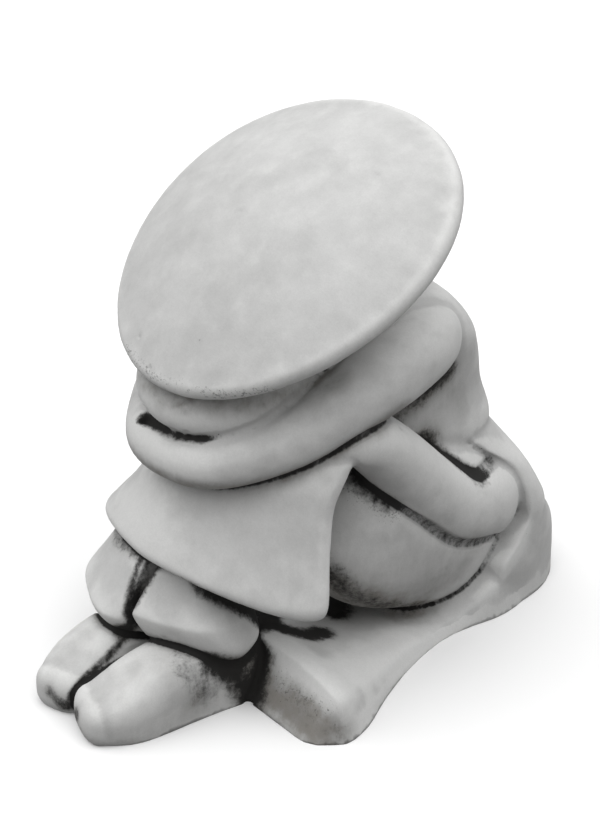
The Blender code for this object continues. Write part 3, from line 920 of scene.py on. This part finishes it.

# The dirt and the painted shade.
# Dark patina has settled in every hollow, which rays sent out from each point tell.
# The same rays tell how sheltered each point is, which later sets painted shade.
# Named places carry stains and painted shadows, a grey wash and painted shade,
# rubbed-clean stone and painted highlights, or speckles besides.

HOLLOW_REACH = 7.0
SHELTER_REACH = 48.0
RAY_COUNT = 56
RAY_LEAN = 1.02
RAY_START = 0.4
GOLDEN_ANGLE = math.pi * (3.0 - math.sqrt(5.0))
WEAR_STEPS = 5
EVENING_STEPS = 2
# Several stains are painted shadow: the gap under the apron's hem, the stone under the apron and the
# near shin's inner face are blackened where shade falls.
STAINS_AND_SHADOWS = [
    (SLIT, ONE_SIDE, 9.0, 1.35),
    ([(9, -97, 174), (17, -92, 179)], ONE_SIDE, 2.5, 0.5),
    ([(56, 18, 142), (56, 25, 145), (55, 36, 150), (54, 47, 155), (52, 56, 160)],
     BOTH_SIDES, 16.0, 1.15),
    ([(54, 43, 122), (60, 47, 116), (65, 53, 109), (68, 62, 100), (68, 69, 94)], BOTH_SIDES, 17.0, 0.8),
    ([(51, 66, 143), (52, 70, 130)], BOTH_SIDES, 12.0, 0.25),
    ([(60, -32, 134), (49, -10, 118), (56, -3, 110), (62, 3, 102)], BOTH_SIDES, 15.0, 0.85),
    ([(50, -24, 62), (55, -10, 45), (57, 7, 32), (53, 32, 22)], BOTH_SIDES, 21.0, 0.85),
    ([(44, -30, 90), (48, -24, 60)], BOTH_SIDES, 16.0, 0.5),
    ([(41, 37, 9), (53, 50, 10)], BOTH_SIDES, 4.0, 0.5),
    ([(49, 41, 9), (53, 45, 9)], ONE_SIDE, 1.9, 1.0),
    ([(29, -8, 31), (27, 3, 19), (29, -3, 16)], BOTH_SIDES, 17.0, 1.2),
    ([(30, -100, 74), (36, -88, 65), (39, -77, 55), (38, -68, 46)], BOTH_SIDES, 11.0, 1.25),
    ([(38, -68, 46), (30, -50, 29), (38, -47, 27), (46, -38, 23), (46, -27, 20)], BOTH_SIDES, 15.0, 1.3),
    ([(-52, -92, 67), (-41, -104, 70), (-1, -116, 80), (35, -109, 80), (55, -102, 76), (72, -92, 71)],
     ONE_SIDE, 8.0, 0.62),
    ([(2, -104, 84), (1, -112, 70), (0, -120, 56)], ONE_SIDE, 10.0, 1.0),
    ([(42, -99, 29), (47, -89, 21), (49, -84, 9), (53, -81, 3), (48, -71, 22)], BOTH_SIDES, 19.0, 1.1),
    ([(38, -116, 31), (46, -107, 17)], BOTH_SIDES, 24.0, 0.62),
    ([(-12, -171, 13), (-5, -168, 6), (0, -167, 8)], BOTH_SIDES, 9.0, 0.85),
    ([(9, -169, 8), (28, -171, 4)], ONE_SIDE, 8.0, 0.5),
    ([(-6, -120, 46), (-4, -126, 36)], ONE_SIDE, 11.0, 1.2),
    ([(78, -72, 18), (92, -70, 12), (104, -66, 8)], BOTH_SIDES, 20.0, 0.55),
    (SHIN_CREASE, ONE_SIDE, 6.0, 0.9),
    (FOOT_CREASE, ONE_SIDE, 5.0, 0.9),
    ([(19, -88, 213), (20, -87, 213)], ONE_SIDE, 2.0, 0.7),
    ([(-13, -92, 116), (-11, -93, 113)], ONE_SIDE, 3.0, 0.55),
    ([(18, -97, 111), (22, -95, 110)], ONE_SIDE, 2.5, 0.4),
]
# The washes are partly a brushed grey wash and partly painted shade, greying the stone under the hat,
# the sleeve fronts, the undersides and the hat's front.
WASHES_AND_SHADES = [
    ([(60, -76, 14), (100, -76, 8)], BOTH_SIDES, 30.0, 1.2),
    ([(51, -14, 46), (60, 20, 42), (66, 50, 40)], BOTH_SIDES, 36.0, 0.75),
    ([(24, -126, 32), (22, -160, 20)], BOTH_SIDES, 26.0, 0.5),
    ([(-1, -98, 173), (22, -89, 178), (41, -71, 181), (49, -51, 182), (52, -27, 187)],
     ONE_SIDE, 13.0, 1.0),
    ([(44, -120, 8), (38, -152, 4)], BOTH_SIDES, 26.0, 0.55),
    ([(76, 0, 60), (76, 50, 50)], BOTH_SIDES, 46.0, 0.55),
    ([(56, -10, 30), (56, 40, 14)], BOTH_SIDES, 26.0, 0.8),
    ([(-20, -104, 133), (5, -106, 132), (30, -98, 133), (57, -60, 141), (79, -3, 165)],
     BOTH_SIDES, 16.0, 1.0),
    ([(-30, -94, 176), (0, -98, 178), (30, -86, 180), (52, -58, 182), (62, -30, 188)],
     ONE_SIDE, 16.0, 1.0),
    ([(57, 30, 130), (56, 60, 140)], BOTH_SIDES, 40.0, 0.55),
    ([(72, 100, 30), (64, 126, 40)], BOTH_SIDES, 40.0, 0.3),
    ([(-45, -60, 225), (-20, -30, 250)], ONE_SIDE, 75.0, 0.34),
]
# The clean places are partly rubbed stone and partly a painted highlight, lifting the slab's top, the
# robe's edge, the thigh and sleeve tops and the apron's front.
CLEAN_AND_LIT = [
    ([(62, -62, 32), (92, -60, 29), (80, -34, 20), (72, 10, 13)], BOTH_SIDES, 34.0, 1.3),
    ([(76, 95, 48), (75, 82, 39), (72, 66, 27), (70, 50, 18), (74, 28, 12)], BOTH_SIDES, 18.0, 1.0),
    ([(70, 80, 96), (68, 100, 80)], BOTH_SIDES, 40.0, 0.9),
    ([(66, 0, 140), (72, 40, 110), (74, 70, 92)], BOTH_SIDES, 24.0, 0.8),
    ([(-30, -102, 146), (0, -107, 144), (30, -100, 148)], ONE_SIDE, 12.0, 0.9),
    ([(-50, -96, 104), (0, -112, 100)], ONE_SIDE, 40.0, 0.9),
]
SPECKLES = [
    ([(-30, -97, 191), (0, -102, 190), (40, -95, 193), (68, -79, 201)], ONE_SIDE, 9.0, 0.85),
    ([(50, -10, 116), (64, 6, 100)], BOTH_SIDES, 26.0, 0.9),
    ([(48, -112, 22), (40, -96, 20), (60, -76, 20), (100, -70, 16)], BOTH_SIDES, 22.0, 0.7),
    ([(68, 100, 40), (72, 100, 70)], BOTH_SIDES, 24.0, 0.55),
    ([(58, 40, 140), (56, 60, 130)], BOTH_SIDES, 22.0, 0.5),
    ([(60, 40, 60), (62, 10, 60)], BOTH_SIDES, 46.0, 0.35),
    ([(-40, -80, 132), (30, -92, 126)], ONE_SIDE, 12.0, 0.4),
    ([(60, -60, 86), (90, -50, 84)], BOTH_SIDES, 18.0, 0.4),
]

soiling_tree = bpy.data.node_groups.new("soiling", "GeometryNodeTree")
for label, kind in (
    ("Body", "NodeSocketGeometry"), ("Hollow Reach", "NodeSocketFloat"),
    ("Shelter Reach", "NodeSocketFloat"), ("Rays", "NodeSocketInt"), ("Wear Steps", "NodeSocketInt"),
):
    soiling_tree.interface.new_socket(label, in_out="INPUT", socket_type=kind)
soiling_tree.interface.new_socket("Body", in_out="OUTPUT", socket_type="NodeSocketGeometry")
given = soiling_tree.nodes.new("NodeGroupInput")
finished = soiling_tree.nodes.new("NodeGroupOutput")
wired = {socket.name: Signal(soiling_tree, socket) for socket in given.outputs if socket.name}
body = wired["Body"]
here = body.node("GeometryNodeInputPosition")
outward = body.node("GeometryNodeInputNormal")


def keep_number(geometry, label, value):
    """Store a number on every point of the geometry under a name."""
    settings = {"data_type": "FLOAT", "domain": "POINT"}
    return geometry.node("GeometryNodeStoreNamedAttribute", settings, {
        "Geometry": geometry, "Name": label, "Value": value})


rays_start = soiling_tree.nodes.new("GeometryNodeRepeatInput")
rays_end = soiling_tree.nodes.new("GeometryNodeRepeatOutput")
rays_start.pair_with_output(rays_end)
soiling_tree.links.new(wired["Rays"].socket, rays_start.inputs["Iterations"])
empty = keep_number(keep_number(body, "hollow", 0.0), "sheltered", 0.0)
soiling_tree.links.new(empty.socket, rays_start.inputs["Geometry"])
turn_number = Signal(soiling_tree, rays_start.outputs["Iteration"])
height = 1.0 - (2.0 * turn_number + 1.0) / wired["Rays"]
flat = 1.0 - height * height
reach = flat.math("SQRT", flat)
angle = turn_number * GOLDEN_ANGLE
sample = body.node("ShaderNodeCombineXYZ", None, {
    "X": reach * angle.math("COSINE", angle), "Y": reach * angle.math("SINE", angle), "Z": height})
direction = outward.vector("ADD", outward.scaled(RAY_LEAN), sample)
ray = body.node("GeometryNodeRaycast", None, {
    "Target Geometry": body,
    "Source Position": here.vector("ADD", here, outward.scaled(RAY_START * MM)),
    "Ray Direction": direction, "Ray Length": wired["Shelter Reach"]}, "Is Hit")
distance = Signal(soiling_tree, ray.socket.node.outputs["Hit Distance"])
counted = Signal(soiling_tree, rays_start.outputs["Geometry"])
for label, limit in (("hollow", "Hollow Reach"), ("sheltered", "Shelter Reach")):
    closeness = (1.0 - distance / wired[limit]).at_least(0.0) * ray / wired["Rays"]
    counted = keep_number(counted, label, named(body, label) + closeness)
soiling_tree.links.new(counted.socket, rays_end.inputs["Geometry"])
soiled = Signal(soiling_tree, rays_end.outputs["Geometry"])
level = body.node("GeometryNodeBlurAttribute", {"data_type": "FLOAT_VECTOR"}, {
    "Value": here, "Iterations": wired["Wear Steps"]})
proud = outward.vector("DOT_PRODUCT", outward, here.vector("SUBTRACT", here, level), output="Value")
soiled = keep_number(soiled, "proud", proud / MM)
soiled = keep_number(soiled, "upright", outward.node("ShaderNodeSeparateXYZ", None, {
    "Vector": outward}, "Z"))
for label in ("hollow", "sheltered", "proud"):
    evened = body.node("GeometryNodeBlurAttribute", {"data_type": "FLOAT"}, {
        "Value": named(body, label), "Iterations": EVENING_STEPS})
    soiled = keep_number(soiled, label, evened)
soiling_tree.links.new(in_stone(soiled).socket, finished.inputs[0])

run_tree(casting, soiling_tree, {
    "Hollow Reach": HOLLOW_REACH * MM,
    "Shelter Reach": SHELTER_REACH * MM,
    "Rays": RAY_COUNT,
    "Wear Steps": WEAR_STEPS,
})

points = numpy.empty(3 * len(casting.data.vertices))
casting.data.vertices.foreach_get("co", points)
points = points.reshape(-1, 3)


def closeness(places):
    """How near each point of the casting is to the places, times their strength."""
    strongest = numpy.zeros(len(points))
    for path, sides, reach, strength in places:
        for side in sides:
            for start, end in zip(path, path[1:]):
                start = numpy.array((side * start[0], *start[1:])) * MM
                along = numpy.array((side * end[0], *end[1:])) * MM - start
                share = numpy.clip((points - start) @ along / (along @ along), 0.0, 1.0)
                away = numpy.linalg.norm(points - start - share[:, None] * along, axis=1)
                near = numpy.clip(1.0 - away / (reach * MM), 0.0, 1.0)
                strongest = numpy.maximum(strongest, strength * near * near * (3.0 - 2.0 * near))
    return strongest


# Stained places include painted shadows, washed ones painted shade and clean ones painted highlights.
for label, named_places in (
    ("stained", STAINS_AND_SHADOWS), ("speckled", SPECKLES), ("washed", WASHES_AND_SHADES), ("clean", CLEAN_AND_LIT),
):
    give_numbers(casting.data, label, closeness(named_places))
casting.data.transform(Matrix.Translation(FIGURE_MIDDLE))

# The stone.
# Pale grey cement stone, matt and fine-grained, with a faint brushed wash. The
# wash also paints shade under the hat, under things and in sheltered places. Dark
# grey dirt thins out from the hollows in wisps, and the same black paints shadow
# in named gaps; edges are rubbed lighter, and named tops get a painted highlight.

stone.use_nodes = True
stone_tree = stone.node_tree
stone_shader = stone_tree.nodes["Principled BSDF"]
stone_shader.inputs["Specular IOR Level"].default_value = 0.28
LOW_REACH = 26.0
PALE_STONE = (0.53, 0.53, 0.525)
GREY_STONE = (0.46, 0.46, 0.455)
# The grey wash below also paints shade, the black dirt also paints shadow, and the rubbed stone also
# paints highlights.
GREY_WASH_AND_SHADE = (0.19, 0.186, 0.178)
BROWN_TINT = (0.20, 0.172, 0.135)
BLACK_DIRT_AND_SHADOW = (0.010, 0.0095, 0.009)
RUBBED_AND_LIT_STONE = (0.72, 0.72, 0.71)

place = Signal(stone_tree, stone_tree.nodes.new("ShaderNodeTexCoord").outputs["Object"])


def clouds(size, detail=4.0, roughness=0.5, offset=(0.0, 0.0, 0.0), stretch=(1.0, 1.0, 1.0)):
    """Even random clouds of a size in millimetres, between about -0.5 and 0.5."""
    spread = place.node("ShaderNodeMapping", None, {
        "Vector": place, "Location": offset, "Scale": stretch})
    return place.node("ShaderNodeTexNoise", None, {
        "Vector": spread, "Scale": 1.0 / (size * MM), "Detail": detail, "Roughness": roughness}) - 0.5


def measured(label):
    """A number that the stone's mesh carries under a name."""
    return place.node("ShaderNodeAttribute", {"attribute_name": label}, None, "Fac")


def blend(share, first, second):
    """A colour that goes from the first to the second."""
    ends = [one if isinstance(one, Signal) else (*one, 1.0) for one in (first, second)]
    return place.node("ShaderNodeMix", {"data_type": "RGBA"}, {0: share, 6: ends[0], 7: ends[1]}, 2)


hollow = measured("hollow")
sheltered = measured("sheltered")
proud = measured("proud")
stain_and_shadow = measured("stained")
seam = measured("seam")
seam_strength = measured("seam_strength")
speckled = measured("speckled")
washed = measured("washed")
clean = measured("clean")
ground_height = place.node("ShaderNodeSeparateXYZ", None, {"Vector": place}, "Z") / MM

mottling = clouds(34.0, 5.0, 0.6)
blotches = clouds(11.0, 6.0, 0.65, (0.3, 0.1, 0.2))
wisps = clouds(3.2, 9.0, 0.72, (0.1, 0.5, 0.3))
flecks = clouds(1.3, 4.0, 0.7, (0.2, 0.4, 0.6))
grain = clouds(0.9, 3.0, 0.6)
brushing = clouds(5.0, 6.0, 0.7, (0.7, 0.2, 0.4), (1.0, 1.0, 0.22))

# Painted shade: sheltered and downward-facing stone is greyed by the wash; it is also a little darker
# towards the bottom and around seams.
facing_down = (0.25 - measured("upright")).between(0.0, 1.1)
low_down = (1.0 - ground_height / LOW_REACH).at_least(0.0)
line = seam.between(0.70, 0.90) * seam_strength
halo = seam.between(0.15, 1.0) * seam_strength
wash_and_shade = (
    (sheltered - 0.35).at_least(0.0) * 1.2 + facing_down * 0.34 + low_down * 0.10 + stain_and_shadow * 0.8
    + halo * 0.30 + washed * 0.75 - clean * 0.35
    + (blotches * 0.6 + brushing * 0.4) * (0.4 + washed) - 0.12
).between(0.0, 1.1)
# Black patina fills the hollows and seams; the same black paints shadow at the named stains and a little
# painted shade in sheltered places.
dirt_and_shadow = (
    hollow * 1.5 + stain_and_shadow * 1.2 + sheltered * 0.20 + low_down * 0.06 + line * 1.1 + halo * 0.12
    + wisps * 1.4 + blotches * 0.7 + brushing * 0.5 - clean * 0.2 - 0.34
).between(0.10, 0.95)
dirt_and_shadow = dirt_and_shadow * (hollow * 3.0 + stain_and_shadow * 2.0 + sheltered * 0.7 + line * 1.6).at_most(1.0)
specks = (flecks * 1.5 + wisps * 0.6 + speckled * 0.55 - 0.46).between(0.0, 0.16)
specks = specks * speckled.between(0.0, 0.4)
dirt_and_shadow = dirt_and_shadow.at_least(specks * 0.55)
# Convex edges are rubbed lighter, and the named clean places are a painted highlight.
rubbed_and_lit = (proud * 5.0 + clean * 0.9 + blotches * 0.8 - 0.15).between(0.0, 1.0) * (1.0 - dirt_and_shadow)

tone = blend((mottling * 2.2 + 0.5).between(0.0, 1.0), PALE_STONE, GREY_STONE)
# Rubbed stone and painted highlights, then the grey wash with painted shade, then black dirt with
# painted shadow.
tone = blend(rubbed_and_lit * 0.6, tone, RUBBED_AND_LIT_STONE)
tone = blend(wash_and_shade * 0.8, tone, GREY_WASH_AND_SHADE)
tone = blend((wash_and_shade * 1.2 - 0.5 + blotches * 1.2).between(0.1, 1.0) * 0.35, tone, BROWN_TINT)
tone = blend(dirt_and_shadow * 0.97, tone, BLACK_DIRT_AND_SHADOW)
shade = 1.0 + grain * 0.20 + wisps * 0.16
tone = place.node("ShaderNodeVectorMath", {"operation": "MULTIPLY"}, {
    0: tone, 1: place.node("ShaderNodeCombineXYZ", None, {"X": shade, "Y": shade, "Z": shade})})
stone_tree.links.new(tone.socket, stone_shader.inputs["Base Color"])
stone_tree.links.new((0.80 + dirt_and_shadow * 0.15 + grain * 0.2).socket, stone_shader.inputs["Roughness"])
surface = grain * 0.35 + wisps * 0.55 + brushing * 0.4
rough = place.node("ShaderNodeBump", None, {"Strength": 0.35, "Distance": 0.0004, "Height": surface})
stone_tree.links.new(rough.socket, stone_shader.inputs["Normal"])

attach(casting, "root")
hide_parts("farmer_figure")
